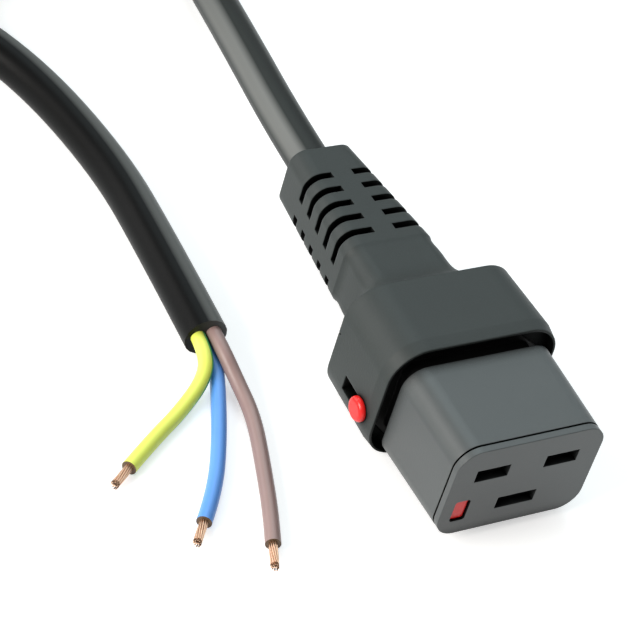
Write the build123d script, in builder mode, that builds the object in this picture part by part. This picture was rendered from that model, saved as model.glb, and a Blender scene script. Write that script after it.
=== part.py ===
from build123d import *
import os
from math import cos, radians, sin, tan

# C19 cord connector with a latch, its cord coiled behind it and the cord's stripped end.
# Millimetres, +Z up. The connector lies on the flat underside of its collar, its nose
# points to -Y and its cord leaves towards +Y. X and Y are centred on the connector.
# Depths below are counted from the nose's front face, sideways places from the nose's
# middle, and heights from the middle of the nose.

# Driving dimensions: the connector outside
body_length = 74.5           # nose face to the end of the strain relief
face_width = 27.4            # nose at its front face
face_height = 19.0
nose_corner = 4.0
nose_draft = 0.3             # growth of each half size over the nose's length
nose_end = 18.6              # depth where the nose shell stops
rim_depth = 19.75            # depth of the collar's front rim
bezel_depth = 22.1           # depth where the rim's lead-in strip ends
neck_length = 13.8           # flare from the collar's back edge to the strain relief
collar_half = 16.2           # half width at the strip's back edge
collar_top = 12.55           # top face above the nose's middle
floor_drop = 11.45           # flat underside below the nose's middle
rim_inset = 0.3              # how far the strip closes in towards the rim
shoulder_inset = 0.4         # how far the collar narrows towards its back
collar_corner = 6.4
lip = 0.4                    # wall left around the mouth at the rim
mouth_floor = 22.0           # depth of the ledge inside the mouth
flange_thickness = 0.9       # black flange of the contact carrier on that ledge

# Driving dimensions: the strain relief
relief_half = 6.2            # half width at its very end
relief_half_height = 6.25
relief_root_half = 8.5       # the same where the flare ends
relief_root_half_height = 6.75
relief_mid = -0.3            # middle of its end section above the nose's middle
relief_root_mid = 0.75
relief_corner = 2.9
slot_rows = 5
slot_pitch = 3.75
slot_width = 1.4
first_slot_gap = 2.2         # from the flare's end to the nearest slot
spine_half = 2.0             # half width of the solid spine between two slots
side_spine = (-2.6, 0.9)     # lower and upper edge of the spines at the sides
relief_core = 0.85           # wall left round the cord inside the slots
cord_gap = 0.15              # between the cord and its bore

# Driving dimensions: contacts and openings
pole_offset = 6.5            # line and neutral sit this far either side of the middle
pole_height = 3.7
earth_height = -4.2
earth_shift = 0.35
pole_slot = (6.2, 2.56)
earth_slot = (7.3, 2.56)
window_place = (-10.1, -4.1)
window_size = (2.8, 4.6)

# Driving dimensions: walls and clearances
plate_thickness = 1.2
seam = 0.3                   # shadow gap between front plate and nose shell
shell_wall = 1.6
fit_gap = 0.05               # between parts that are pushed together
running_gap = 0.2            # round parts that move
lead_gap = 0.4               # round each inner wire in the cap
cap_thickness = 1.8
cap_wall = 0.2               # collar left behind the cap
chamber_wall = 1.2           # between the latch chamber and the earth contact's
contact_wall = 0.45
contact_room = 0.12          # round each contact in its chamber
sleeve_length = 11.0         # the part of a contact that takes the blade
strap_length = 1.8           # between the earth contact's sleeve and its crimp barrel
barrel_length = 5.0
barrel_recess = 0.6          # from a barrel's end to the carrier's back
cover_front = (8.8, -6.4, 5.9)    # inner moulding at the cap: half width, low and high
cover_back = (5.5, -4.2, 4.2)     # and at the cord
cover_wall = 0.8
cover_opening = 3.4          # half size of its opening at the cord
cover_corner = 2.0

# Driving dimensions: the latch
slide_travel = 3.6
latch_angle = 16.0           # how far the latch plate leans forward at rest
latch_hinge = (12.4, 5.9)    # depth and height of its pin
latch_thickness = 1.0
pin_radius = 0.6
pin_gap = 0.04
button_radius = 2.2
button_proud = 1.1           # how far the button stands out of the collar's side
button_depth = 23.9
button_height = -3.7
stem_length = 2.2
stem_shift = 0.3             # how far the stem's middle lies behind the button's
stem_play = 0.1              # in front of the stem in its slot
side_slot_length = 7.0
side_slot_height = 3.0
side_line = [(1.7, 3.4), (1.75, 0.3), (1.0, -2.9)]    # from the slot's end and middle height

# Driving dimensions: the cord and its cores
cord_diameter = 7.6
core_diameter = 2.6
strand_diameter = 1.6
sheath_gap = 0.8             # from the flare's end to the sheath's end inside the relief
coil_centre = (-28.8, 194.0)
coil_inner = 34.4            # radius of the inner turns' middle
coil_columns = 2             # turns side by side
coil_levels = 4.3            # height of the wound turns in cord diameters
coil_leave = 210.0           # direction from the coil's centre to where the cord leaves it
notch_gap = 1.2              # beside the cord where it joins the coil

axis_x = button_proud / 2
face_y = -body_length / 2
axis_z = floor_drop
cord_radius = cord_diameter / 2
core_radius = core_diameter / 2
cord_floor = cord_radius - floor_drop    # height of a cord that lies on the surface
core_floor = core_radius - floor_drop

os.makedirs("parts", exist_ok=True)


def facing(depth, x=0.0, z=0.0):
    """Plane across the connector: local x is X, local y is Z, it looks to the front."""
    return Plane(origin=(axis_x + x, face_y + depth, axis_z + z), x_dir=(1, 0, 0), z_dir=(0, -1, 0))


def beside(x, depth=0.0, z=0.0):
    """Plane along the connector: local x is Y, local y is Z, it looks to the right."""
    return Plane(origin=(axis_x + x, face_y + depth, axis_z + z), x_dir=(0, 1, 0), z_dir=(1, 0, 0))


def place(point):
    """A point given as sideways place, depth and height, in the part's own frame."""
    return Vector(axis_x + point[0], face_y + point[1], axis_z + point[2])


def section(depth, half_width, low, high, corner):
    """Rounded rectangle across the connector between two heights."""
    with BuildSketch(facing(depth, 0, (low + high) / 2)) as outline:
        RectangleRounded(2 * half_width, high - low, corner)
    return outline.sketch


def cut_box(depth, length, x, z, width, height, corner=0.0):
    """Remove a straight channel with a rectangular section, running back from a depth."""
    with BuildSketch(facing(depth, x, z)) as channel:
        if corner:
            RectangleRounded(width, height, corner)
        else:
            Rectangle(width, height)
    extrude(channel.sketch, amount=-length, mode=Mode.SUBTRACT)


def sweep_round(corners, radius, name="", mode=Mode.ADD):
    """Straight runs with the largest arcs that fit between them, swept with a round section."""
    radii = []
    for before, corner, after in zip(corners, corners[1:], corners[2:]):
        turn = radians((corner - before).get_angle(after - corner))
        shorter = min((corner - before).length, (after - corner).length)
        radii.append(0.45 * shorter / tan(turn / 2))
    with BuildLine():
        path = FilletPolyline(*corners, radius=radii)
    with BuildSketch(Plane(origin=path @ 0, z_dir=path % 0)) as profile:
        Circle(radius)
    sweep(profile.sketch, path=path, mode=mode)
    if name:
        print(name, "length", round(path.length, 1), "radii", [round(r, 1) for r in radii])
    return path


def tube(points, radius, name="", mode=Mode.ADD):
    return sweep_round([place(p) for p in points], radius, name, mode)


# Sizes that several pieces share
latch_room = (6.4, 13.8)     # depths where the latch chamber starts and ends
earth_chamber_start = latch_room[1] + chamber_wall
sleeve_limit = earth_chamber_start + sleeve_length
barrel_start = sleeve_limit + strap_length
barrel_end = barrel_start + barrel_length    # back end of each contact's crimp barrel
carrier_end = barrel_end + barrel_recess
cap_end = carrier_end + cap_thickness
shoulder_depth = cap_end + cap_wall    # the collar's back edge
neck_end = shoulder_depth + neck_length
sheath_start = neck_end + sheath_gap
stem_middle = button_depth + stem_shift
side_slot_start = stem_middle - stem_length / 2 - stem_play
side_slot_end = side_slot_start + side_slot_length
inner_half = face_width / 2 - shell_wall
inner_half_height = face_height / 2 - shell_wall
carrier_half = inner_half - fit_gap
carrier_half_height = inner_half_height - fit_gap
carrier_corner = nose_corner - 1.6
shell_start = plate_thickness + seam
chamber_growth = 2 * (contact_wall + contact_room)
chamber_pole = (pole_slot[0] + chamber_growth, pole_slot[1] + chamber_growth)
chamber_earth = (earth_slot[0] + chamber_growth, earth_slot[1] + chamber_growth)
pole_chamber_start = shell_start + 1.5
arm_width = window_size[0] - 2 * running_gap
arm_height = window_size[1] - 2 * running_gap
arm_end = stem_middle + stem_length / 2 + 0.7
lead_ends = {
    "line": ((pole_offset, pole_height), (1.55, 0.95)),
    "neutral": ((-pole_offset, pole_height), (-1.55, 0.95)),
    "earth": ((earth_shift, earth_height), (0.0, -1.75)),
}


def lead_points(name):
    """Route of one inner wire, from its crimp barrel to just before the sheath."""
    (x, z), (end_x, end_z) = lead_ends[name]
    return [(x, barrel_end - 3, z), (x, cap_end + 0.2, z), (end_x, sheath_start - 0.5, end_z)]


coil_x, coil_y = coil_centre
coil_outer = coil_inner + (coil_columns - 1) * cord_diameter    # middle of the outermost turn
enter_x = coil_x + coil_outer
cord_route = [
    (0, sheath_start, 0), (0, 83, 0), (4.8, 117, -3.2), (9.6, 149, cord_floor),
    (enter_x, 172, cord_floor), (enter_x, coil_y, cord_floor),
]


def cover_sections(inset):
    """Front and back outline of the inner moulding, moved inwards by an inset."""
    return [
        section(depth, half - inset, low + inset, high - inset, cover_corner - inset)
        for depth, (half, low, high) in ((cap_end, cover_front), (sheath_start, cover_back))
    ]


# The grip is one moulding: collar, flared neck and slotted strain relief
rim_half = collar_half - rim_inset
rim_top = collar_top - rim_inset
shoulder_half = collar_half - shoulder_inset
shoulder_top = collar_top - shoulder_inset
root_low = relief_root_mid - relief_root_half_height
root_high = relief_root_mid + relief_root_half_height
neck_steps = 6
mouth_half = rim_half - lip
mouth_low = lip - floor_drop
mouth_high = rim_top - lip
pocket_end = mouth_floor + flange_thickness
pocket = [
    (14.2, -5.4), (14.2, 5.4), (8.6, 9.9), (-8.6, 9.9),
    (-14.2, 5.4), (-14.2, -5.4), (-9.4, mouth_low), (9.4, mouth_low),
]
with BuildPart() as grip_overmould:
    # Collar, from the rim's lead-in strip back to the shoulder
    loft(sections=[
        section(rim_depth, rim_half, -floor_drop, rim_top, collar_corner),
        section(bezel_depth, collar_half, -floor_drop, collar_top, collar_corner),
    ])
    loft(sections=[
        section(bezel_depth, collar_half, -floor_drop, collar_top, collar_corner),
        section(shoulder_depth, shoulder_half, -floor_drop, shoulder_top, collar_corner),
    ])
    # Neck: a hollow curve that drops steeply off the shoulder and runs out along the relief
    neck = []
    for i in range(neck_steps + 1):
        along = (i / neck_steps) ** 1.7
        spread = (1 - along) ** 6
        neck.append(section(
            shoulder_depth + (neck_end - shoulder_depth) * along,
            relief_root_half + (shoulder_half - relief_root_half) * spread,
            root_low + (-floor_drop - root_low) * spread,
            root_high + (shoulder_top - root_high) * spread,
            relief_corner + (collar_corner - relief_corner) * spread,
        ))
    loft(sections=neck)
    # Strain relief, a straight taper
    loft(sections=[
        section(neck_end, relief_root_half, root_low, root_high, relief_corner),
        section(body_length, relief_half, relief_mid - relief_half_height,
                relief_mid + relief_half_height, relief_corner),
    ])
    # Slots that wrap each of the four corners and leave four spines
    reach = relief_root_half + 3
    for row in range(slot_rows):
        with BuildSketch(facing(neck_end + first_slot_gap + row * slot_pitch)):
            for side in (-1, 1):
                with Locations(
                    (side * (spine_half + reach / 2), side_spine[1] + reach / 2),
                    (side * (spine_half + reach / 2), side_spine[0] - reach / 2),
                ):
                    Rectangle(reach, reach)
            Circle(cord_radius + relief_core, mode=Mode.SUBTRACT)
        extrude(amount=-slot_width, mode=Mode.SUBTRACT)
    # Mouth round the nose, and a shallow pocket with cut corners on its ledge
    with BuildSketch(facing(rim_depth, 0, (mouth_low + mouth_high) / 2)):
        RectangleRounded(2 * mouth_half, mouth_high - mouth_low, collar_corner - lip)
    extrude(amount=-(mouth_floor - rim_depth), mode=Mode.SUBTRACT)
    with BuildSketch(facing(mouth_floor)) as pocket_outline:
        with BuildLine():
            Polyline(*pocket, close=True)
        make_face()
        fillet(pocket_outline.vertices(), 1.4)
    extrude(amount=-flange_thickness, mode=Mode.SUBTRACT)
    # Room for the contact carrier with its cap
    cut_box(mouth_floor, cap_end - mouth_floor, 0, 0, 2 * inner_half, 2 * inner_half_height,
            carrier_corner + fit_gap)
    # Slot in the left side for the release button's stem
    with BuildSketch(beside(-collar_half - 1, (side_slot_start + side_slot_end) / 2, button_height)):
        Rectangle(side_slot_length, side_slot_height)
    extrude(amount=collar_half + 1 - carrier_half, mode=Mode.SUBTRACT)
    # Fine curved line pressed into the side behind that slot
    with BuildSketch(beside(-collar_half - 1, side_slot_end, button_height)):
        SlotArc(arc=ThreePointArc(*side_line), height=0.3)
    extrude(amount=collar_half + 1 - shoulder_half + 0.1, mode=Mode.SUBTRACT)
    # Room for the inner moulding and the cord's sheath
    loft(sections=cover_sections(-fit_gap), mode=Mode.SUBTRACT)
    with BuildSketch(facing(sheath_start)):
        Circle(cord_radius + cord_gap)
    extrude(amount=-(body_length - sheath_start), mode=Mode.SUBTRACT)
grip_overmould.part.label = "grip_overmould"
export_step(grip_overmould.part, "parts/grip_overmould.step")

# Inner moulding: the hard funnel round the three wires, between the contacts and the cord
funnel_corner = cover_corner - cover_wall
with BuildPart() as inner_moulding:
    loft(sections=cover_sections(0))
    loft(sections=[
        cover_sections(cover_wall)[0],
        section(sheath_start, cover_opening, -cover_opening, cover_opening, funnel_corner),
    ], mode=Mode.SUBTRACT)
inner_moulding.part.label = "inner_moulding"
export_step(inner_moulding.part, "parts/inner_moulding.step")

# Front plate: closes the nose, with the three contact slots and the latch window
with BuildPart() as front_plate:
    with BuildSketch(facing(0)):
        RectangleRounded(face_width, face_height, nose_corner)
    extrude(amount=-plate_thickness)
    with BuildSketch(facing(plate_thickness)):
        RectangleRounded(2 * carrier_half - 1, 2 * carrier_half_height - 1, carrier_corner)
    extrude(amount=-seam)
    for side in (-1, 1):
        cut_box(0, shell_start, side * pole_offset, pole_height, *pole_slot)
    cut_box(0, shell_start, earth_shift, earth_height, *earth_slot)
    cut_box(0, shell_start, *window_place, *window_size, 0.5)
front_plate.part.label = "front_plate"
export_step(front_plate.part, "parts/front_plate.step")

# Nose shell: the hard tube that enters the inlet, slightly wider at its back
with BuildPart() as nose_shell:
    shell_sections = []
    for depth in (shell_start, nose_end):
        growth = nose_draft * depth / nose_end
        shell_sections.append(section(
            depth, face_width / 2 + growth, -face_height / 2 - growth, face_height / 2 + growth, nose_corner,
        ))
    loft(sections=shell_sections)
    cut_box(0, nose_end, 0, 0, 2 * inner_half, 2 * inner_half_height, carrier_corner + fit_gap)
nose_shell.part.label = "nose_shell"
export_step(nose_shell.part, "parts/nose_shell.step")

# Contact carrier: the inner block with a chamber for each contact and for the latch
channel_right = window_place[0] + window_size[0] / 2
channel_end = carrier_end - 1.3
room_left = channel_right - 0.1
room_right = earth_shift + chamber_earth[0] / 2 + 0.2
room_low = 0.35 - carrier_half_height
room_high = -0.9
room_length = latch_room[1] - latch_room[0]
latch_arm_half = 1.5
pin_half = 2.2
with BuildPart() as contact_carrier:
    with BuildSketch(facing(shell_start)):
        RectangleRounded(2 * carrier_half, 2 * carrier_half_height, carrier_corner)
    extrude(amount=-(carrier_end - shell_start))
    # Flange that lies in the pocket of the grip's mouth
    with BuildSketch(facing(mouth_floor)) as flange:
        with BuildLine():
            Polyline(*pocket, close=True)
        make_face()
        fillet(flange.vertices(), 1.4)
        offset(amount=-fit_gap)
    extrude(amount=-flange_thickness)
    for side in (-1, 1):
        cut_box(0, carrier_end, side * pole_offset, pole_height, *pole_slot)
        cut_box(pole_chamber_start, carrier_end, side * pole_offset, pole_height, *chamber_pole)
    cut_box(0, carrier_end, earth_shift, earth_height, *earth_slot)
    cut_box(earth_chamber_start, carrier_end, earth_shift, earth_height, *chamber_earth)
    # Channel for the release slider, open to the side only behind the flange
    cut_box(0, channel_end, *window_place, *window_size)
    cut_box(side_slot_start, side_slot_length, (window_place[0] - carrier_half - 1) / 2,
            button_height, carrier_half + 1 + window_place[0], side_slot_height)
    # Chamber for the latch plate, with a narrow slot up to its pin between the poles
    cut_box(latch_room[0], room_length, (room_left + room_right) / 2, (room_low + room_high) / 2,
            room_right - room_left, room_high - room_low)
    cut_box(latch_room[0], room_length + 0.4, 0, (room_low + carrier_half_height + 1) / 2,
            2 * (latch_arm_half + running_gap), carrier_half_height + 1 - room_low)
    # Seats for the latch pin in both walls of that slot
    with BuildSketch(beside(-pin_half, *latch_hinge)):
        Circle(pin_radius)
    extrude(amount=2 * pin_half, mode=Mode.SUBTRACT)
contact_carrier.part.label = "contact_carrier"
export_step(contact_carrier.part, "parts/contact_carrier.step")

# Rear cap: closes the chambers behind the contacts and lets the wires through
with BuildPart() as rear_cap:
    with BuildSketch(facing(carrier_end)):
        RectangleRounded(2 * carrier_half, 2 * carrier_half_height, carrier_corner)
    extrude(amount=-cap_thickness)
    for (x, z), _ in lead_ends.values():
        with BuildSketch(facing(carrier_end, x, z)):
            Circle(core_radius + lead_gap)
        extrude(amount=-cap_thickness, mode=Mode.SUBTRACT)
rear_cap.part.label = "rear_cap"
export_step(rear_cap.part, "parts/rear_cap.step")


barrel_outer = core_radius + fit_gap + contact_wall
strap_half = 1.2
strap_low = 0.1 - barrel_outer    # underside of the strap where it runs into the barrel
leaf_press = 0.42            # how far each spring leaf stands into the sleeve


def contact(x, z, slot, start):
    """Socket contact in the part being built: a folded sleeve, a strap and a crimp barrel."""
    width = slot[0] + 2 * contact_wall
    height = slot[1] + 2 * contact_wall
    sleeve_end = start + sleeve_length
    low = -height / 2
    with BuildSketch(facing(start, x, z)) as sleeve:
        Rectangle(width, height)
        Rectangle(*slot, mode=Mode.SUBTRACT)
        # The seam on top, where the folded edges meet
        with Locations((0, height / 2)):
            Rectangle(0.4, 2 * contact_wall, mode=Mode.SUBTRACT)
    extrude(sleeve.sketch, amount=-sleeve_length)
    # Two spring leaves pressed in from above and below, less than a blade's thickness apart
    leaf_width = slot[0] - 1.6
    for side in (-1, 1):
        wall = side * slot[1] / 2
        with BuildSketch(beside(x - leaf_width / 2, start, z)) as leaf:
            with BuildLine():
                Polyline((2.0, wall), (5.5, wall - side * leaf_press), (9.0, wall), close=True)
            make_face()
        extrude(leaf.sketch, amount=leaf_width)
    # Strap from the sleeve's floor back to the crimp barrel
    with BuildSketch(beside(x - strap_half, 0, z)) as strap:
        with BuildLine():
            Polyline(
                (sleeve_end - 0.6, low), (sleeve_end - 0.6, low + contact_wall),
                (sleeve_end, low + contact_wall), (barrel_start + 0.3, strap_low + contact_wall),
                (barrel_start + 0.3, strap_low), (sleeve_end, low), close=True,
            )
        make_face()
    extrude(strap.sketch, amount=2 * strap_half)
    with BuildSketch(facing(barrel_start, x, z)) as barrel:
        Circle(barrel_outer)
        Circle(core_radius + fit_gap, mode=Mode.SUBTRACT)
    extrude(barrel.sketch, amount=-barrel_length)


with BuildPart() as line_contact:
    contact(pole_offset, pole_height, pole_slot, pole_chamber_start)
line_contact.part.label = "line_contact"
export_step(line_contact.part, "parts/line_contact.step")

with BuildPart() as neutral_contact:
    contact(-pole_offset, pole_height, pole_slot, pole_chamber_start)
neutral_contact.part.label = "neutral_contact"
export_step(neutral_contact.part, "parts/neutral_contact.step")

with BuildPart() as earth_contact:
    contact(earth_shift, earth_height, earth_slot, earth_chamber_start)
earth_contact.part.label = "earth_contact"
export_step(earth_contact.part, "parts/earth_contact.step")

# Inner wires, from the crimp barrels to the end of the cord's sheath
with BuildPart() as line_lead:
    tube(lead_points("line"), core_radius, "line_lead")
line_lead.part.label = "line_lead"
export_step(line_lead.part, "parts/line_lead.step")

with BuildPart() as neutral_lead:
    tube(lead_points("neutral"), core_radius, "neutral_lead")
neutral_lead.part.label = "neutral_lead"
export_step(neutral_lead.part, "parts/neutral_lead.step")

with BuildPart() as earth_lead:
    tube(lead_points("earth"), core_radius, "earth_lead")
earth_lead.part.label = "earth_lead"
export_step(earth_lead.part, "parts/earth_lead.step")

# Latch plate: hangs on its pin, leans forward, and grips the earth blade in its window
plate_plane = Plane(origin=place((0, *latch_hinge)), x_dir=(1, 0, 0),
                    z_dir=(0, -cos(radians(latch_angle)), sin(radians(latch_angle))))
plate_bottom = 12.6          # below the pin, along the plate
plate_top = 7.5              # upper edge of its wide part, below the pin
plate_window = 10.1          # middle of its window, below the pin
plate_left = -8.1
plate_right = room_right - 0.4
eye_radius = 1.15
with BuildPart() as lock_plate:
    with BuildSketch(plate_plane.offset(-latch_thickness / 2)):
        with Locations(((plate_left + plate_right) / 2, -(plate_bottom + plate_top) / 2)):
            Rectangle(plate_right - plate_left, plate_bottom - plate_top)
        with Locations((0, -plate_top / 2)):
            Rectangle(2 * latch_arm_half, plate_top)
        with Locations((earth_shift, -plate_window)):
            Rectangle(earth_slot[0] + 0.5, earth_slot[1] + 0.7, mode=Mode.SUBTRACT)
    extrude(amount=latch_thickness)
    with BuildSketch(beside(-latch_arm_half, *latch_hinge)):
        Circle(eye_radius)
    extrude(amount=2 * latch_arm_half)
    with BuildSketch(beside(-latch_arm_half, *latch_hinge)):
        Circle(pin_radius + pin_gap)
    extrude(amount=2 * latch_arm_half, mode=Mode.SUBTRACT)
lock_plate.part.label = "lock_plate"
export_step(lock_plate.part, "parts/lock_plate.step")

with BuildPart() as lock_pin:
    with BuildSketch(beside(-pin_half, *latch_hinge)):
        Circle(pin_radius)
    extrude(amount=2 * pin_half)
lock_pin.part.label = "lock_pin"
export_step(lock_pin.part, "parts/lock_pin.step")

# Leaf spring behind the latch plate: a foot on the chamber's back wall and a bent tongue
leaf_half = 0.15
tongue_width = 1.6
leaf_left = plate_left + 1.5
leaf_drop = 11.5             # where the tongue meets the plate, below the pin
tongue_depth = latch_hinge[0] - leaf_drop * tan(radians(latch_angle)) + running_gap
tongue_depth += (latch_thickness / 2 + leaf_half) / cos(radians(latch_angle))
leaf_back = latch_room[1] - leaf_half
with BuildPart() as lock_spring:
    with BuildSketch(beside(leaf_left)):
        with BuildLine():
            leaf_path = Polyline(
                (leaf_back, room_low + 0.6), (leaf_back, room_high - 0.7),
                (latch_room[1] - 1.2, room_high - 0.4), (tongue_depth, latch_hinge[1] - leaf_drop),
            )
            offset(leaf_path, amount=leaf_half, side=Side.BOTH)
        make_face()
    extrude(amount=tongue_width)
lock_spring.part.label = "lock_spring"
export_step(lock_spring.part, "parts/lock_spring.step")

# Release slider: one red moulding with the window's flag, the arm, a hook and the button
button_side = -collar_half - 0.1
flag_front = 0.4             # how far the flag lies behind the nose's face
hook_front = 6.7
hook_length = 1.3
hook_tip = -7.0
peg_radius = 0.7
with BuildPart() as release_slider:
    with BuildSketch(facing(flag_front, *window_place)):
        RectangleRounded(arm_width, arm_height, 0.4)
    extrude(amount=-(arm_end - flag_front))
    # Hook in front of the latch plate's tab
    with BuildSketch(facing(hook_front, (window_place[0] + hook_tip) / 2, -4.6)):
        Rectangle(hook_tip - window_place[0], 2.6)
    extrude(amount=-hook_length)
    # Stem out through the slot in the collar's side
    with BuildSketch(beside(button_side, stem_middle, button_height)):
        Rectangle(stem_length, side_slot_height - 2 * running_gap)
    extrude(amount=window_place[0] - button_side)
    # Domed button
    with BuildSketch(beside(button_side, button_depth, button_height)):
        Circle(button_radius)
    extrude(amount=-(button_proud - 0.1))
    fillet(release_slider.faces().sort_by(Axis.X)[0].edges(), 0.75)
    # Peg that centres the return spring
    with BuildSketch(facing(arm_end, *window_place)):
        Circle(peg_radius)
    extrude(amount=-1.5)
release_slider.part.label = "release_slider"
export_step(release_slider.part, "parts/release_slider.step")

# Return spring behind the slider, its wire six-sided
wire_radius = 0.2
spring_radius = 1.1
spring_pitch = 1.9
spring_start = arm_end + wire_radius
spring_length = channel_end - wire_radius - spring_start
with BuildPart() as return_spring:
    with BuildLine():
        winding = Helix(
            pitch=spring_pitch, height=spring_length, radius=spring_radius,
            center=place((window_place[0], spring_start, window_place[1])), direction=(0, 1, 0),
        )
    with BuildSketch(Plane(origin=winding @ 0, z_dir=winding % 0)):
        RegularPolygon(wire_radius, 6)
    sweep(path=winding, is_frenet=True)
return_spring.part.label = "return_spring"
export_step(return_spring.part, "parts/return_spring.step")

# Cord, first stretch: out of the strain relief and down to the coil
with BuildPart() as cord_run:
    tube(cord_route, cord_radius, "cord_run")
cord_run.part.label = "cord_run"
export_step(cord_run.part, "parts/cord_run.step")

# Cord, second stretch: off the coil's second layer and along the surface to its cut end
leave = radians(coil_leave)
outward = Vector(cos(leave), sin(leave), 0)
exit_point = (coil_x + coil_outer * outward.X, coil_y + coil_outer * outward.Y, cord_floor + cord_diameter)
end_route = [
    exit_point, (-55.17, 155.68, exit_point[2]), (-45.6, 137.6, cord_floor), (-35.6, 118.5, cord_floor),
    (-30.6, 92, cord_floor), (-30.9, 70, cord_floor), (-31.9, 48.3, cord_floor),
]
with BuildPart() as cord_end_run:
    end_path = tube(end_route, cord_radius, "cord_end_run")
cord_end_run.part.label = "cord_end_run"
export_step(cord_end_run.part, "parts/cord_end_run.step")

# The coil between them, as the outer shape of its turns, with a notch at each end
coil_inside = coil_inner - cord_radius
coil_outside = coil_outer + cord_radius
coil_height = coil_levels * cord_diameter
notch_width = cord_diameter + 2 * notch_gap
with BuildPart() as cord_coil:
    with BuildSketch(facing(coil_y, coil_x + (coil_inside + coil_outside) / 2, coil_height / 2 - floor_drop)):
        Rectangle(coil_outside - coil_inside, coil_height)
    revolve(axis=Axis(place((coil_x, coil_y, 0)), (0, 0, 1)))
    cut_box(coil_y - coil_outside, coil_outside, enter_x, cord_floor, notch_width, notch_width)
    with BuildSketch(Plane(origin=place(exit_point), x_dir=(0, 0, 1), z_dir=(-outward.Y, outward.X, 0))):
        Rectangle(2 * coil_height, notch_width)
    extrude(amount=coil_outside, mode=Mode.SUBTRACT)
cord_coil.part.label = "cord_coil"
export_step(cord_coil.part, "parts/cord_coil.step")

# The three cores that come out of the cut sheath, each with its bare strands
core_circle = 1.56           # their distance from the cord's middle
core_first = 4.0             # straight start of each core
core_fall = -9.0             # height of a core that is on its way down to the surface
strand_length = 5.0
cut_middle = end_path @ 1
cut_heading = end_path % 1
cut_side = cut_heading.cross(Vector(0, 0, 1))
core_paths = {
    "earth": (15, [
        (-35.6, 40.4, core_fall), (-42.2, 35.4, core_floor), (-48.4, 31.4, core_floor), (-54.9, 26.6, core_floor),
    ]),
    "blue": (255, [
        (-33.2, 39.4, core_floor), (-37.9, 28.8, core_floor), (-43.2, 18.9, core_floor), (-47.9, 13.1, core_floor),
    ]),
    "brown": (135, [
        (-30.2, 39.0, core_fall), (-30.3, 31.5, core_floor), (-33.6, 21.0, core_floor),
        (-36.8, 11.6, core_floor), (-39.1, 6.1, core_floor),
    ]),
}
for colour, (angle, spots) in core_paths.items():
    start = cut_middle + cut_side * (core_circle * cos(radians(angle)))
    start += Vector(0, 0, core_circle * sin(radians(angle)))
    bend = start + cut_heading * core_first
    corners = [start, bend] + [place(spot) for spot in spots]
    with BuildPart() as core:
        core_end = sweep_round(corners, core_radius, colour + "_core")
    core.part.label = colour + "_core"
    export_step(core.part, f"parts/{colour}_core.step")
    with BuildPart() as strands:
        with BuildSketch(Plane(origin=core_end @ 1, z_dir=core_end % 1)):
            Circle(strand_diameter / 2)
        extrude(amount=strand_length)
    strands.part.label = colour + "_strands"
    export_step(strands.part, f"parts/{colour}_strands.step")
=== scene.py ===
# %% [markdown]
# # A latching C19 cord connector
# This lesson dresses a CAD model of a mains cord connector for a photograph-like render.
# The hard pieces come ready from the CAD frame and only get finishes. What is soft or
# stranded, the cord, its cores and the copper wires, is built here as smooth curves.
# The frame is loaded first, because every piece is placed in the CAD's own coordinates.

# %% Load the frame
import math
import bpy
from mathutils import Matrix, Vector


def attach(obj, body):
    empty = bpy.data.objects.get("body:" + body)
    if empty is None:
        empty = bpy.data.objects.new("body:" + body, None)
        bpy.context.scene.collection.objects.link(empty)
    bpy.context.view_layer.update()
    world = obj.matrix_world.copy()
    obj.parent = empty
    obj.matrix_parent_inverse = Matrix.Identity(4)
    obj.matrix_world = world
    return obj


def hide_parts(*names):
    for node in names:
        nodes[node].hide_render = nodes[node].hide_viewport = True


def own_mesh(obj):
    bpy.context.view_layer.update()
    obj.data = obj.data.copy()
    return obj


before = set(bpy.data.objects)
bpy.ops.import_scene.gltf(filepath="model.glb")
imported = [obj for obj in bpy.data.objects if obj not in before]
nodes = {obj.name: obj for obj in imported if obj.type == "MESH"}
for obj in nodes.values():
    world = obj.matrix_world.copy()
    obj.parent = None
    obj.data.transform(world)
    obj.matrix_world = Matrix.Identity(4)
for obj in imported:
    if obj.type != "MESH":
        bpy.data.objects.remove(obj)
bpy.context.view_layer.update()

# %% [markdown]
# ## Places and objects
# The CAD counts depths from the nose's front face and heights from the nose's middle,
# in millimetres. A small helper turns such a triple into metres in the shared frame, so
# the numbers here can be compared with the drawing one by one. Another puts a new curve,
# mesh, lamp or camera into the scene.

# %% Helpers for places and objects
AXIS_X, FACE_Y, AXIS_Z = 0.55, -37.25, 11.45


def spot(x, depth, height):
    """A place in the frame, from connector millimetres."""
    return Vector((x + AXIS_X, depth + FACE_Y, height + AXIS_Z)) / 1000


def add_object(name, data):
    """A new object in the scene that shows the given data."""
    thing = bpy.data.objects.new(name, data)
    bpy.context.scene.collection.objects.link(thing)
    return thing


print("nose face middle:", tuple(round(v, 5) for v in spot(0, 0, 0)))

# %% [markdown]
# ## Camera
# The product is seen from its front left and above, with a long lens that keeps its
# edges nearly parallel, as in a catalogue. A camera in Blender looks along its own -Z.
# Three angles could turn it, but a target is easier to check against the photograph, so
# it is turned towards one, and then rolled a little about the line of sight.

# %% Camera
EYE = Vector((-0.213277, -0.242458, 0.295529))
AIM = Vector((-0.022987, -0.005816, 0.022281))
ROLL = math.radians(17.8408)
camera_data = bpy.data.cameras.new("product_camera")
camera_data.sensor_width = 36.0
camera_data.lens = 145.32
camera_data.clip_start = 0.01
camera_data.clip_end = 20.0
camera = add_object("product_camera", camera_data)
look = (AIM - EYE).to_track_quat("-Z", "Y").to_matrix() @ Matrix.Rotation(ROLL, 3, "Z")
camera.matrix_world = Matrix.Translation(EYE) @ look.to_4x4()
bpy.context.scene.camera = camera
bpy.context.scene.view_settings.view_transform = "Standard"
print("camera", round((AIM - EYE).length * 1000), "mm from its target")

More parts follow.
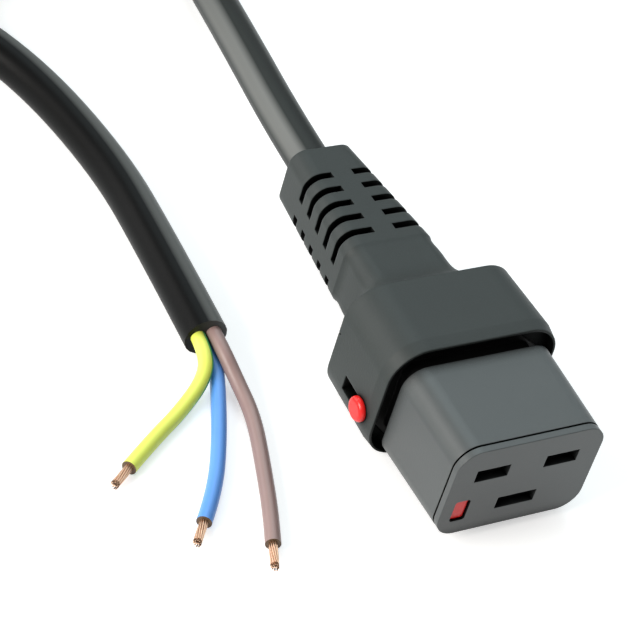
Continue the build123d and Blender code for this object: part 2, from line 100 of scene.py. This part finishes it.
# %% [markdown]
# ## The cord as one curve
# A round mains cord is stiff enough to swing in wide arcs and limp enough to lie flat.
# It leaves the strain relief straight, sinks to the table, is wound into a coil and comes
# back with its cut end beside the connector. It could be a mesh tube swept along straight
# runs and arcs, but one NURBS spline with a round bevel gives it in a single smooth piece:
# its control points are the corners of the route, and order 3 keeps the curve near them.

# %% Helpers for smooth round cords
def curve_data(name, sides, steps):
    """Curve data with a bevel of 1 m, which each point's radius scales down, because
    Blender measures a curve's box by those radii."""
    data = bpy.data.curves.new(name, "CURVE")
    data.dimensions = "3D"
    data.bevel_depth = 1.0
    data.bevel_resolution = sides
    data.resolution_u = steps
    data.use_fill_caps = True
    return data


def add_spline(data, points, radius):
    """One open NURBS spline. Its order is set last, when it has its points."""
    spline = data.splines.new("NURBS")
    spline.points.add(len(points) - 1)
    for control, place in zip(spline.points, points):
        control.co = (*place, 1.0)
        control.radius = radius
    spline.order_u = 3
    spline.use_endpoint_u = True


def smooth_curve(name, points, diameter, sides=8):
    """A round cord along one spline."""
    data = curve_data(name, sides, CORD_STEPS)
    add_spline(data, points, diameter / 2)
    return add_object(name, data)


CORD_STEPS = 8
print("steps between two control points:", CORD_STEPS)

# %% [markdown]
# The two free stretches are read off the photograph as a few corners each, which the
# curve rounds off. The first sinks from the strain relief to the table. The second comes
# down from the coil, swings round in a wide arc and ends where the sheath is cut.

# %% The cord's two free stretches
CORD = 0.0076                # diameter in metres; the numbers below are connector millimetres
TABLE = -AXIS_Z
FLOOR_CORD = TABLE + 3.8     # middle of a cord that lies on the table
TURN_RISE = 7.6              # from one turn of the coil to the next above it
COIL_X, COIL_Y, OUTER, INNER = -28.8, 194.0, 42.0, 34.4
leaving = [(0, 62, 0), (0, 83, 0), (4.8, 117, -3.2), (9.6, 149, FLOOR_CORD), (13.2, 172, FLOOR_CORD)]
returning = [(-55.17, 155.68, FLOOR_CORD + TURN_RISE), (-45.6, 137.6, FLOOR_CORD),
             (-35.6, 118.5, FLOOR_CORD), (-30.6, 92, FLOOR_CORD), (-30.9, 70, FLOOR_CORD),
             (-31.9, 48.3, FLOOR_CORD)]
print("corners before and after the coil:", len(leaving), len(returning))

# %% [markdown]
# ## The coil
# The photograph shows only the first and last stretch of the cord, so the rest is put
# away behind the connector, out of the picture. A loop walks round the coil in steps of
# 15 degrees. The first turn lies on the table and steps inwards, the next three climb one
# diameter a turn as the inner column, and the last ones step out and sink back over the
# first turn. Two small tables of turning points give the radius and the height.

# %% Wind the coil
def between(degrees, marks, soft):
    """The value between two marks, with a soft start and end or at an even pace."""
    for (here, low), (there, high) in zip(marks, marks[1:]):
        if degrees <= there:
            share = (degrees - here) / (there - here)
            if soft:
                share = 0.5 - 0.5 * math.cos(math.pi * share)
            return low + (high - low) * share
    return marks[-1][1]


STEP = 15                    # degrees between two control points
LEAVE = 6 * 360 + 210        # degrees of winding in all
radius_marks = [(0, OUTER), (260, OUTER), (360, INNER), (1440, INNER), (1540, OUTER), (LEAVE, OUTER)]
level_marks = [(0, 0), (360, 0), (1540, 3 + 100 / 360), (LEAVE, 1)]
winding = []
for degrees in range(0, LEAVE + 1, STEP):
    radius = between(degrees, radius_marks, soft=True)
    level = between(degrees, level_marks, soft=False)
    angle = math.radians(degrees)
    winding.append((COIL_X + radius * math.cos(angle), COIL_Y + radius * math.sin(angle),
                    FLOOR_CORD + TURN_RISE * level))
route = [spot(*p) for p in leaving + winding + returning]
power_cord = smooth_curve("power_cord", route, CORD)
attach(power_cord, "housing")
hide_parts("cord_run", "cord_coil", "cord_end_run")
print("cord control points:", len(route))

# %% [markdown]
# ## The three cores
# Where the sheath is cut, three insulated cores fan out and settle on the table: earth,
# neutral and line. Each is a thin cord of its own, so each gets its own curve. The three
# start in a triangle round the sheath's middle, as they are laid inside it.

# %% Cores
CORE = 0.0026                # diameter in metres
FLOOR_CORE = TABLE + 1.3     # middle of a core that lies on the table
FALLING = -9.0               # a core's height on its way down
LAY = 1.56                   # from the sheath's middle to the middle of a core
INSIDE = 1.5                 # how far inside the sheath a core's curve starts
STRAIGHT = 4.0               # how far a core comes out before it may bend
cut = Vector(returning[-1])
heading = (cut - Vector(returning[-2])).normalized()
sideways = heading.cross(Vector((0, 0, 1)))
core_spots = {
    "earth": (15, [(-35.6, 40.4, FALLING), (-42.2, 35.4, FLOOR_CORE), (-48.4, 31.4, FLOOR_CORE),
                   (-54.9, 26.6, FLOOR_CORE)]),
    "blue": (255, [(-33.2, 39.4, FLOOR_CORE), (-37.9, 28.8, FLOOR_CORE), (-43.2, 18.9, FLOOR_CORE),
                   (-47.9, 13.1, FLOOR_CORE)]),
    "brown": (135, [(-30.2, 39.0, FALLING), (-30.3, 31.5, FLOOR_CORE), (-33.6, 21.0, FLOOR_CORE),
                    (-36.8, 11.6, FLOOR_CORE), (-39.1, 6.1, FLOOR_CORE)]),
}
cores = {}
core_ends = {}
for colour, (turn, spots) in core_spots.items():
    around = math.radians(turn)
    start = cut + sideways * LAY * math.cos(around) + Vector((0, 0, LAY * math.sin(around)))
    places = [start - heading * INSIDE, start + heading * STRAIGHT] + spots
    points = [spot(*p) for p in places]
    core = smooth_curve(colour + "_insulation", points, CORE, sides=6)
    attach(core, "housing")
    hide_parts(colour + "_core")
    cores[colour] = core
    core_ends[colour] = (points[-1], (points[-1] - points[-2]).normalized())
    print(colour, "core from", tuple(round(v, 4) for v in points[0]))

# %% [markdown]
# ## Stranded copper
# A flexible core holds a bundle of thin copper wires, twisted a little. The bare end is a
# few millimetres of them, and they never stay in a perfect cylinder: some stand off and
# the cut is ragged. Each wire is a short spline of its own in one curve object per end.
# The wires start a little inside the insulation, so that no gap shows at its edge.

# %% Bare copper ends
BARE_LENGTH = 0.0047
BUNDLE_RADIUS = 0.00072
WIRE_RADIUS = 0.00011
ROOT = 0.0008                # how far inside the insulation a wire starts
TWIST = 1.1                  # radians from the start of a wire to its tip
LOOSE = 0.08                 # how far a tip may stand off, as a share of its ring
RAGGED = 0.04                # how much longer or shorter a wire may be, as a share
WIRE_RINGS = [(1, 0.0), (6, 0.45), (11, 0.86)]    # wires in each ring, and its share of the radius
WIRE_STEPS = 4


def strand_bundle(name, start, along):
    """A twisted bundle of wires from a core's end, with a ragged tip."""
    data = curve_data(name, 1, 3)
    side = along.cross(Vector((0, 0, 1))).normalized()
    up = side.cross(along).normalized()
    for count, ring in WIRE_RINGS:
        for k in range(count):
            wobble = math.sin(7.3 * k + 3.1 * ring)
            points = []
            for j in range(WIRE_STEPS + 1):
                t = j / WIRE_STEPS
                turn = 2 * math.pi * k / count + TWIST * t
                spread = ring * BUNDLE_RADIUS * (1 + LOOSE * t * wobble)
                away = along * (BARE_LENGTH * t * (1 + RAGGED * wobble) - ROOT * (1 - t))
                across = side * spread * math.cos(turn) + up * spread * math.sin(turn)
                points.append(start + away + across)
            add_spline(data, points, WIRE_RADIUS)
    return add_object(name, data)


strands = {}
for colour, (end, along) in core_ends.items():
    bundle = strand_bundle(colour + "_copper", end, along)
    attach(bundle, "housing")
    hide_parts(colour + "_strands")
    strands[colour] = bundle
print("wires in each bare end:", len(bundle.data.splines))

# %% [markdown]
# ## What the cords are
# The power cord has the length of a common cord set, most of it in the coil. The cores'
# lengths are measured in the photograph, and each core ends in its copper. Here the cords are only
# counted.

# %% Count the cords
print("declared cords:", 1 + len(cores))

# %% [markdown]
# ## Shared surface effects
# Moulded plastic is never quite smooth: the mould leaves a fine grain, and handling adds
# faint cloudy differences in gloss. Each material could hold its own noise nodes, but a
# node group is built once and placed in all of them with other values. It takes the
# object's own coordinates. Its Height is for a Bump node, its Cloud for tint and gloss.

# %% A node group for moulded grain
def group_with_sockets(name, inputs, outputs):
    """A new node group, with the outputs of its input node and the inputs of its output node."""
    group = bpy.data.node_groups.new(name, "ShaderNodeTree")
    for label, value in inputs.items():
        socket = group.interface.new_socket(label, in_out="INPUT", socket_type="NodeSocketFloat")
        socket.default_value = value
    for label in outputs:
        group.interface.new_socket(label, in_out="OUTPUT", socket_type="NodeSocketFloat")
    return group, group.nodes.new("NodeGroupInput").outputs, group.nodes.new("NodeGroupOutput").inputs


grain_group, wanted, given = group_with_sockets(
    "moulded_grain", {"Grain Scale": 2500.0, "Cloud Scale": 60.0}, ["Height", "Cloud"])
coords = grain_group.nodes.new("ShaderNodeTexCoord")
for scale, detail, result in (("Grain Scale", 3.0, "Height"), ("Cloud Scale", 4.0, "Cloud")):
    noise = grain_group.nodes.new("ShaderNodeTexNoise")
    noise.inputs["Detail"].default_value = detail
    grain_group.links.new(coords.outputs["Object"], noise.inputs["Vector"])
    grain_group.links.new(wanted[scale], noise.inputs["Scale"])
    grain_group.links.new(noise.outputs["Fac"], given[result])
print("grain group sockets:", [s.name for s in grain_group.interface.items_tree])

# %% [markdown]
# An earth core has a green stripe, and this cord's sheath gets a pale band of painted sheen along it.
# A curve knows how far along and how far around each point lies: its UV coordinates run
# from 0 to 1 both ways. A second group turns them into a stripe along the piece, centred
# at one place around it, that may wander sideways from the start to the end. The cosine
# of the angle from the stripe's middle says how near a point is to it, without a jump
# where the coordinate goes from 1 back to 0.

# %% A node group for a stripe along a curve
def feed(tree, socket, value):
    """Sets an input to a number or a colour of three numbers, or links an output to it."""
    if isinstance(value, (int, float)):
        socket.default_value = value
    elif isinstance(value, (tuple, list)):
        socket.default_value = (*value, 1)
    else:
        tree.links.new(value, socket)


def math_node(tree, operation, *values):
    """The result of a Math node."""
    node = tree.nodes.new("ShaderNodeMath")
    node.operation = operation
    for socket, value in zip(node.inputs, values):
        feed(tree, socket, value)
    return node.outputs["Value"]


def range_node(tree, value, low=0, high=1, to_low=0, to_high=1):
    """A value carried over from one range into another, and held inside it."""
    node = tree.nodes.new("ShaderNodeMapRange")
    for label, number in (("Value", value), ("From Min", low), ("From Max", high),
                          ("To Min", to_low), ("To Max", to_high)):
        feed(tree, node.inputs[label], number)
    return node.outputs["Result"]


stripe_group, wanted, given = group_with_sockets(
    "stripe_along", {"Centre": 0.0, "Drift": 0.0, "Edge": 0.5, "Softness": 0.1}, ["Mask", "Along"])
uv_coords = stripe_group.nodes.new("ShaderNodeTexCoord")
uv_parts = stripe_group.nodes.new("ShaderNodeSeparateXYZ")
stripe_group.links.new(uv_coords.outputs["UV"], uv_parts.inputs[0])
wander = math_node(stripe_group, "MULTIPLY", uv_parts.outputs["X"], wanted["Drift"])
middle = math_node(stripe_group, "ADD", wanted["Centre"], wander)
turns = math_node(stripe_group, "SUBTRACT", uv_parts.outputs["Y"], middle)
angle = math_node(stripe_group, "MULTIPLY", turns, 2 * math.pi)
nearness = math_node(stripe_group, "COSINE", angle)
outside = math_node(stripe_group, "SUBTRACT", wanted["Edge"], wanted["Softness"])
inside = math_node(stripe_group, "ADD", wanted["Edge"], wanted["Softness"])
stripe_group.links.new(range_node(stripe_group, nearness, outside, inside), given["Mask"])
stripe_group.links.new(uv_parts.outputs["X"], given["Along"])
print("stripe group sockets:", [s.name for s in stripe_group.interface.items_tree])

# %% [markdown]
# ## Starting a material
# Every material of the product starts the same way, with the grain group beside the
# Principled shader, and mixes two colours. So that start and the mixing are helpers.

# %% Helpers for materials
def mix_node(tree, share, first, second):
    """A colour between two colours."""
    node = tree.nodes.new("ShaderNodeMix")
    node.data_type = "RGBA"
    for label, value in (("Factor", share), ("A", first), ("B", second)):
        feed(tree, node.inputs[label], value)
    return node.outputs["Result"]


def group_node(tree, group, **values):
    """A node group placed in a tree with its own values: cloud_scale feeds Cloud Scale."""
    node = tree.nodes.new("ShaderNodeGroup")
    node.node_tree = group
    for label, value in values.items():
        feed(tree, node.inputs[label.replace("_", " ").title()], value)
    return node.outputs


def new_material(name, **grain_values):
    """A material, its node tree, its shader and the outputs of a grain group in it."""
    material = bpy.data.materials.new(name)
    material.use_nodes = True
    tree = material.node_tree
    return material, tree, tree.nodes["Principled BSDF"], group_node(tree, grain_group, **grain_values)


print("shared groups:", grain_group.name, "and", stripe_group.name)

# %% [markdown]
# ## Plastics
# The nose is hard satin plastic, the grip a softer, darker one, and the carrier inside is
# black. They could be three separate materials, but one recipe serves all the mouldings:
# a base colour that the cloud noise varies a little, a roughness that it varies too, the
# grain as a faint bump, and a Bevel node that rounds the sharp CAD edges in the shading,
# because real mouldings have no knife edges. Where a moulding has slots, an Ambient
# Occlusion node paints shade into its colour and gloss, deep between its walls.

# %% Plastic recipe
CLOUDINESS = 0.12            # how far the cloud noise varies a colour, as a share of it
GLOSS_CHANGE = 0.06          # how far it varies the roughness
SLOT_DARKNESS = 3.0          # power that deepens the shade between two walls
GRAIN_HEIGHT = 0.0001        # metres


def plastic(name, colour, roughness, grain=0.15, edge=0.00025, gloss=0.5, gap=0.0):
    """A moulding's finish. Edge is the radius that its edges seem to have, and gap is how
    near a wall has to be to darken what faces it, both in metres."""
    material, tree, shader, effect = new_material(name, cloud_scale=90.0)
    darker = [c * (1 - CLOUDINESS) for c in colour]
    lighter = [min(c * (1 + CLOUDINESS), 1) for c in colour]
    tint = mix_node(tree, effect["Cloud"], darker, lighter)
    # Painted shade: ambient occlusion darkens the colour and the gloss between close walls.
    if gap:
        openness = tree.nodes.new("ShaderNodeAmbientOcclusion")
        openness.samples = 8
        openness.inputs["Distance"].default_value = gap
        lit = math_node(tree, "POWER", openness.outputs["AO"], SLOT_DARKNESS)
        tint = mix_node(tree, lit, (0, 0, 0), tint)
        gloss = math_node(tree, "MULTIPLY", lit, gloss)
    feed(tree, shader.inputs["Specular IOR Level"], gloss)
    feed(tree, shader.inputs["Base Color"], tint)
    rough = range_node(tree, effect["Cloud"], to_low=roughness - GLOSS_CHANGE,
                       to_high=roughness + GLOSS_CHANGE)
    feed(tree, shader.inputs["Roughness"], rough)
    bump = tree.nodes.new("ShaderNodeBump")
    bump.inputs["Strength"].default_value = grain
    bump.inputs["Distance"].default_value = GRAIN_HEIGHT
    tree.links.new(effect["Height"], bump.inputs["Height"])
    if edge:
        bevel = tree.nodes.new("ShaderNodeBevel")
        bevel.samples = 6
        bevel.inputs["Radius"].default_value = edge
        tree.links.new(bevel.outputs["Normal"], bump.inputs["Normal"])
    tree.links.new(bump.outputs["Normal"], shader.inputs["Normal"])
    return material


print("colours vary by", CLOUDINESS, "and roughness by", GLOSS_CHANGE)

# %% [markdown]
# The mouldings keep their CAD meshes, and only their material slots are filled. Colours
# are in linear light, so a dark grey has much smaller numbers than it has on a screen.

# %% Dress the mouldings
def dress(material, *names):
    """Gives CAD nodes one finish."""
    for name in names:
        nodes[name].data.materials.clear()
        nodes[name].data.materials.append(material)


nose_plastic = plastic("nose_plastic", (0.069, 0.076, 0.077), 0.42, gap=0.004)
grip_plastic = plastic("grip_plastic", (0.038, 0.044, 0.043), 0.50, grain=0.3, edge=0.0005,
                       gloss=0.25, gap=0.004)
carrier_plastic = plastic("carrier_plastic", (0.004, 0.004, 0.004), 0.55, gloss=0.2)
red_plastic = plastic("release_red", (0.80, 0.012, 0.010), 0.30, grain=0.05)
dress(nose_plastic, "nose_shell", "front_plate")
dress(grip_plastic, "grip_overmould")
dress(carrier_plastic, "contact_carrier", "rear_cap", "inner_moulding")
dress(red_plastic, "release_slider")
print("plastics:", [m.name for m in (nose_plastic, grip_plastic, carrier_plastic, red_plastic)])

# %% [markdown]
# ## The sheath
# The sheath is nearly black, but its first stretch beside the connector is painted greyer,
# as painted light, so its colour changes with the place along the cord. One pale band of
# painted sheen runs along the whole cord and wanders a little round it. A lamp's reflection
# would make such a band, but the coil stands in that lamp's way, so the sheen is painted into the
# colour.

# %% Sheath material
GREY_UNTIL = 0.012           # shares of the way along the curve, counted in control points
BLACK_FROM = 0.06


def recolour(material, colour):
    """Colours a material by a new output."""
    tree = material.node_tree
    feed(tree, tree.nodes["Principled BSDF"].inputs["Base Color"], colour)


sheath_plastic = plastic("cord_sheath", (0.0, 0.0, 0.0), 0.36, grain=0.1, edge=0, gloss=0.08)
tree = sheath_plastic.node_tree
# Painted sheen: a pale band along the cord stands in for a lamp's reflection.
painted_sheen = group_node(tree, stripe_group, centre=0.04, drift=0.13, edge=0.90, softness=0.08)
# Painted light: the stretch beside the connector is painted greyer, as if lit more, and its sheen band
# paler.
painted_light_fade = range_node(tree, painted_sheen["Along"], GREY_UNTIL, BLACK_FROM)
plain = mix_node(tree, painted_light_fade, (0.030, 0.033, 0.032), (0.004, 0.004, 0.004))
painted_sheen_colour = mix_node(tree, painted_light_fade, (0.165, 0.170, 0.165), (0.130, 0.134, 0.130))
recolour(sheath_plastic, mix_node(tree, painted_sheen["Mask"], plain, painted_sheen_colour))
power_cord.data.materials.append(sheath_plastic)
print("sheath turns from grey to black between", GREY_UNTIL, "and", BLACK_FROM, "of the way")

# %% [markdown]
# ## The cores' insulation
# The earth core is yellow with a green stripe, of which only a thin line beside the sheath
# shows before it turns under. Each core's cut face is dark. The curve's end cap has odd
# UV coordinates, so the face is found by where it lies: no further from the core's end,
# along the core, than a hair.

# %% Core materials
FACE_DEPTH = 0.00002


def base_colour(material):
    """The output that colours a material now, to build on."""
    return material.node_tree.nodes["Principled BSDF"].inputs["Base Color"].links[0].from_socket


def cut_face(tree, end, along):
    """1 on the flat face at a core's end, 0 on its round side."""
    place = tree.nodes.new("ShaderNodeTexCoord")
    from_end = tree.nodes.new("ShaderNodeVectorMath")
    from_end.operation = "SUBTRACT"
    from_end.inputs[1].default_value = end
    tree.links.new(place.outputs["Object"], from_end.inputs[0])
    beyond = tree.nodes.new("ShaderNodeVectorMath")
    beyond.operation = "DOT_PRODUCT"
    beyond.inputs[1].default_value = along
    tree.links.new(from_end.outputs["Vector"], beyond.inputs[0])
    return math_node(tree, "GREATER_THAN", beyond.outputs["Value"], -FACE_DEPTH)


brown_plastic = plastic("core_brown", (0.31, 0.205, 0.19), 0.40, grain=0.05, edge=0)
blue_plastic = plastic("core_blue", (0.11, 0.32, 0.80), 0.38, grain=0.05, edge=0)
yellow_plastic = plastic("core_green_yellow", (0.82, 0.90, 0.13), 0.40, grain=0.05, edge=0)
tree = yellow_plastic.node_tree
green = group_node(tree, stripe_group, centre=0.96, drift=-0.25, edge=0.48, softness=0.05)
striped = mix_node(tree, green["Mask"], base_colour(yellow_plastic), (0.05, 0.45, 0.10))
recolour(yellow_plastic, striped)
for colour, material, slot_name in (("brown", brown_plastic, "core_brown"),
                                    ("blue", blue_plastic, "core_blue"),
                                    ("earth", yellow_plastic, "core_green_yellow")):
    cores[colour].data.materials.append(material)
    tree = material.node_tree
    face = cut_face(tree, *core_ends[colour])
    recolour(material, mix_node(tree, face, base_colour(material), (0.10, 0.06, 0.03)))
dress(brown_plastic, "line_lead")
dress(blue_plastic, "neutral_lead")
dress(yellow_plastic, "earth_lead")
print("core finishes:", len(cores))

# %% [markdown]
# ## Metals
# Drawn copper wires, stamped brass contacts and steel latch parts are all bright metal with
# fine marks. Scratches could be drawn one by one, but at this scale they only blur the
# highlights, so one recipe serves: full metallic, with a roughness that the grain breaks
# up. The copper wires' tips, at the end of each curve, are darker where they were cut.

# %% Metal recipe
TIP_START = 0.93             # where a wire's dark tip begins, as a share of the way along


def metal(name, colour, roughness):
    material, tree, shader, effect = new_material(name, grain_scale=4000.0)
    shader.inputs["Metallic"].default_value = 1.0
    tint = mix_node(tree, effect["Cloud"], [c * 0.8 for c in colour], colour)
    feed(tree, shader.inputs["Base Color"], tint)
    rough = range_node(tree, effect["Height"], to_low=roughness - 0.08, to_high=roughness + 0.08)
    feed(tree, shader.inputs["Roughness"], rough)
    return material


copper = metal("bare_copper", (1.0, 0.66, 0.46), 0.38)
brass = metal("contact_brass", (0.86, 0.66, 0.34), 0.28)
steel = metal("latch_steel", (0.62, 0.62, 0.63), 0.32)
tree = copper.node_tree
wire_place = group_node(tree, stripe_group)
cut_tip = math_node(tree, "GREATER_THAN", wire_place["Along"], TIP_START)
recolour(copper, mix_node(tree, cut_tip, base_colour(copper), (0.16, 0.08, 0.04)))
for bundle in strands.values():
    bundle.data.materials.append(copper)
dress(brass, "line_contact", "neutral_contact", "earth_contact")
dress(steel, "lock_plate", "lock_pin", "lock_spring", "return_spring")
print("metals:", [m.name for m in (copper, brass, steel)])

# %% [markdown]
# ## The two springs
# Pulling the release slides the red piece back by 3.6 mm and tips the latch plate upright.
# The coil spring behind the slide and the leaf spring behind the plate stay with the
# housing, so both have to give way while the slide moves. Riding on the slide would pull
# them off their seats, so they should shorten towards their fixed ends instead, each keeping
# the share of its length that still fits between its fixed end and the piece pressing on it.
# The table gives the depth of the fixed end and that share. Here each spring only gets a
# mesh of its own; nothing shortens it.

# %% Give both springs a mesh of their own
spring_ends = {"return_spring": (32.1, 0.40), "lock_spring": (13.8, 0.21)}
for name, (fixed_depth, kept) in spring_ends.items():
    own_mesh(nodes[name])
    print(name, "keeps", kept, "of its length at the end of the slide")

# %% [markdown]
# ## Floor
# The product lies on a large white table. A pure white material would still render grey
# in this light, and brighter lamps would wash out the product. So the material adds a
# little emission for camera rays: the unshadowed floor reads as white, and the object's
# soft shadow stays.
# Glossy rays see the same white, as a photo table gives. The table lies a hair below the
# product, so that their faces never coincide.

# %% White floor
TABLE_HALF = 3.0
TABLE_DROP = 0.00005
TABLE_GLOW = 0.52
corners = [(-TABLE_HALF, -TABLE_HALF, 0), (TABLE_HALF, -TABLE_HALF, 0),
           (TABLE_HALF, TABLE_HALF, 0), (-TABLE_HALF, TABLE_HALF, 0)]
floor_mesh = bpy.data.meshes.new("photo_table")
floor_mesh.from_pydata(corners, [], [(0, 1, 2, 3)])
floor = add_object("photo_table", floor_mesh)
floor.location.z = -TABLE_DROP
table_white = bpy.data.materials.new("table_white")
table_white.use_nodes = True
tree = table_white.node_tree
shader = tree.nodes["Principled BSDF"]
shader.inputs["Base Color"].default_value = (0.85, 0.85, 0.85, 1)
shader.inputs["Roughness"].default_value = 0.9
shader.inputs["Specular IOR Level"].default_value = 0.0
shader.inputs["Emission Color"].default_value = (1, 1, 1, 1)
paths = tree.nodes.new("ShaderNodeLightPath")
seen = math_node(tree, "MAXIMUM", paths.outputs["Is Camera Ray"], paths.outputs["Is Glossy Ray"])
feed(tree, shader.inputs["Emission Strength"], math_node(tree, "MULTIPLY", seen, TABLE_GLOW))
floor_mesh.materials.append(table_white)
print("table:", 2 * TABLE_HALF, "m wide")

# %% [markdown]
# ## Lamps
# Four broad soft boxes and an even white surround give the soft, low-contrast light of a
# catalogue picture. A large cool one above and behind paints the sheen on the top faces,
# and a strong warm one far to the left lifts the side that carries the button. Two weak
# ones, at the right and low behind, light the edges that the others miss. All aim at the
# origin. Places and sizes are in metres, powers in watts.

# %% Soft boxes and surround
WHITE, WARM, COOL = (1.0, 1.0, 1.0), (1.0, 0.97, 0.92), (0.80, 0.96, 1.0)


def soft_box(name, place, size, power, colour):
    data = bpy.data.lights.new(name, "AREA")
    data.shape = "SQUARE"
    data.size = size
    data.energy = power
    data.color = colour
    lamp = add_object(name, data)
    lamp.location = place
    lamp.rotation_euler = (-Vector(place)).to_track_quat("-Z", "Y").to_euler()


world = bpy.data.worlds.new("white_surround")
world.use_nodes = True
background = world.node_tree.nodes["Background"]
background.inputs["Color"].default_value = (1, 1, 1, 1)
background.inputs["Strength"].default_value = 0.28
bpy.context.scene.world = world
soft_box("top_box", (0.15, 0.55, 0.9), 0.8, 5.0, COOL)
soft_box("left_box", (-1.0, 0.0, 0.5), 0.6, 12.5, WARM)
soft_box("right_box", (0.8, 0.3, 0.5), 0.6, 1.5, COOL)
soft_box("rear_box", (-0.436, 0.623, 0.25), 0.5, 2.0, WHITE)
